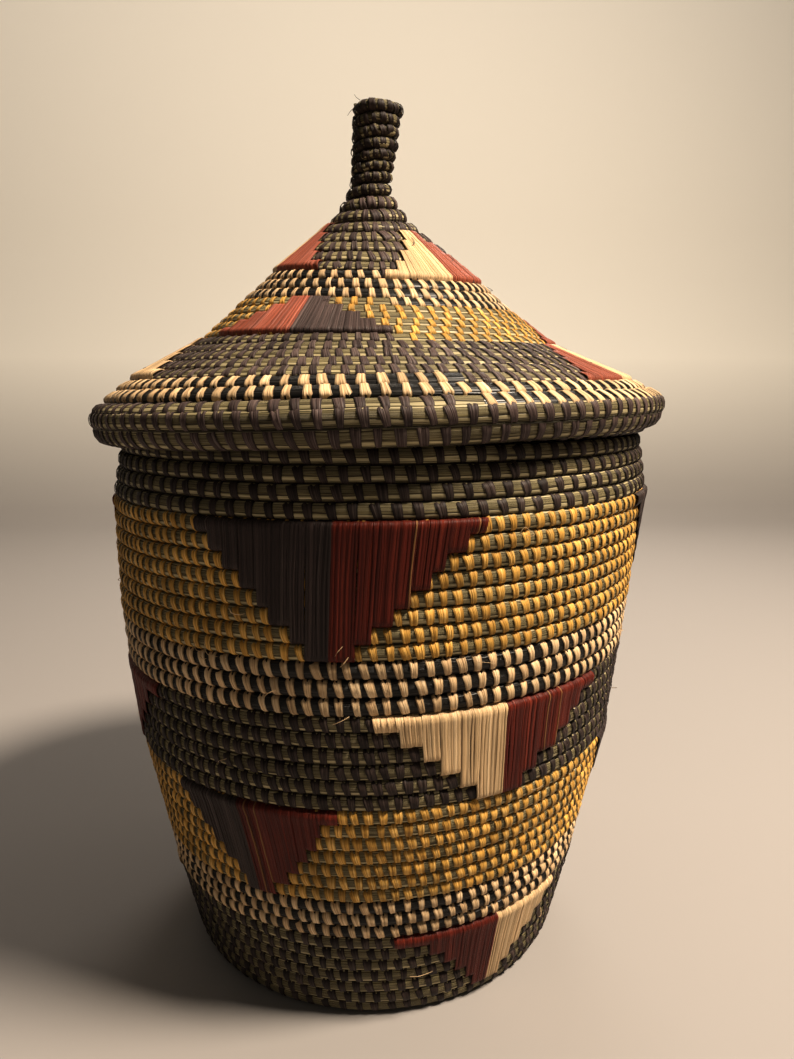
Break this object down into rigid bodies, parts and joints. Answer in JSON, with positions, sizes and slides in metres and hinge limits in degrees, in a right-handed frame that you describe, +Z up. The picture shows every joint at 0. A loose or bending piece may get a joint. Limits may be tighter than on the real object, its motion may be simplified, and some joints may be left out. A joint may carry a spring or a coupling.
{
  "type": "lidded coiled basket",
  "caption": "Tall round coiled basket with a stepped domed lid, a slim knob, colour bands and stepped raffia triangles.",
  "frame": {"origin": "middle of the base, on the floor", "axes": "+Z up along the basket's axis, -Y towards the viewer of the picture, +X to the viewer's right"},
  "size_m": [0.3682, 0.3682, 0.5408],
  "materials": {
    "dark_wrap": "dry split raffia, dyed purple-brown",
    "yellow_wrap": "dry split raffia, dyed ochre yellow",
    "natural_wrap": "dry split raffia, natural beige with black strips between",
    "red_raffia": "fine raffia floats, dyed red-brown beside grey or natural",
    "grass_stems": "bundle of dry olive-green grass stems"
  },
  "bodies": {
    "basket": {"base_coil": "dark_wrap", "foot_coils": "dark_wrap", "lower_black_natural_coils": "natural_wrap", "lower_yellow_coils": "yellow_wrap", "middle_dark_coils": "dark_wrap", "upper_black_natural_coils": "natural_wrap", "upper_yellow_coils": "yellow_wrap", "mouth_coils": "dark_wrap", "upper_yellow_panel_1": "red_raffia", "upper_yellow_panel_2": "red_raffia", "upper_yellow_panel_3": "red_raffia", "upper_yellow_panel_4": "red_raffia", "middle_dark_panel_1": "red_raffia", "middle_dark_panel_2": "red_raffia", "middle_dark_panel_3": "red_raffia", "middle_dark_panel_4": "red_raffia", "lower_yellow_panel_1": "red_raffia", "lower_yellow_panel_2": "red_raffia", "lower_yellow_panel_3": "red_raffia", "lower_yellow_panel_4": "red_raffia", "foot_panel_1": "red_raffia", "foot_panel_2": "red_raffia", "foot_panel_3": "red_raffia", "foot_panel_4": "red_raffia"},
    "lid": {"lid_rim_coils": "dark_wrap", "lid_lower_black_natural_coils": "natural_wrap", "lid_dark_coils": "dark_wrap", "lid_yellow_coils": "yellow_wrap", "lid_upper_black_natural_coils": "natural_wrap", "lid_crown_coils": "dark_wrap", "lid_neck_coils": "dark_wrap", "lid_knob_coil": "dark_wrap", "lid_knob_core": "grass_stems", "lid_collar_coils": "dark_wrap", "lid_dark_panel_1": "red_raffia", "lid_dark_panel_2": "red_raffia", "lid_dark_panel_3": "red_raffia", "lid_yellow_panel_1": "red_raffia", "lid_yellow_panel_2": "red_raffia", "lid_yellow_panel_3": "red_raffia", "lid_crown_panel_1": "red_raffia", "lid_crown_panel_2": "red_raffia", "lid_crown_panel_3": "red_raffia"}
  },
  "joints": [
    {"name": "lid_lift", "type": "slide", "parent": "basket", "child": "lid", "axis": [0, 0, 1], "range_m": [0, 0.3]}
  ]
}
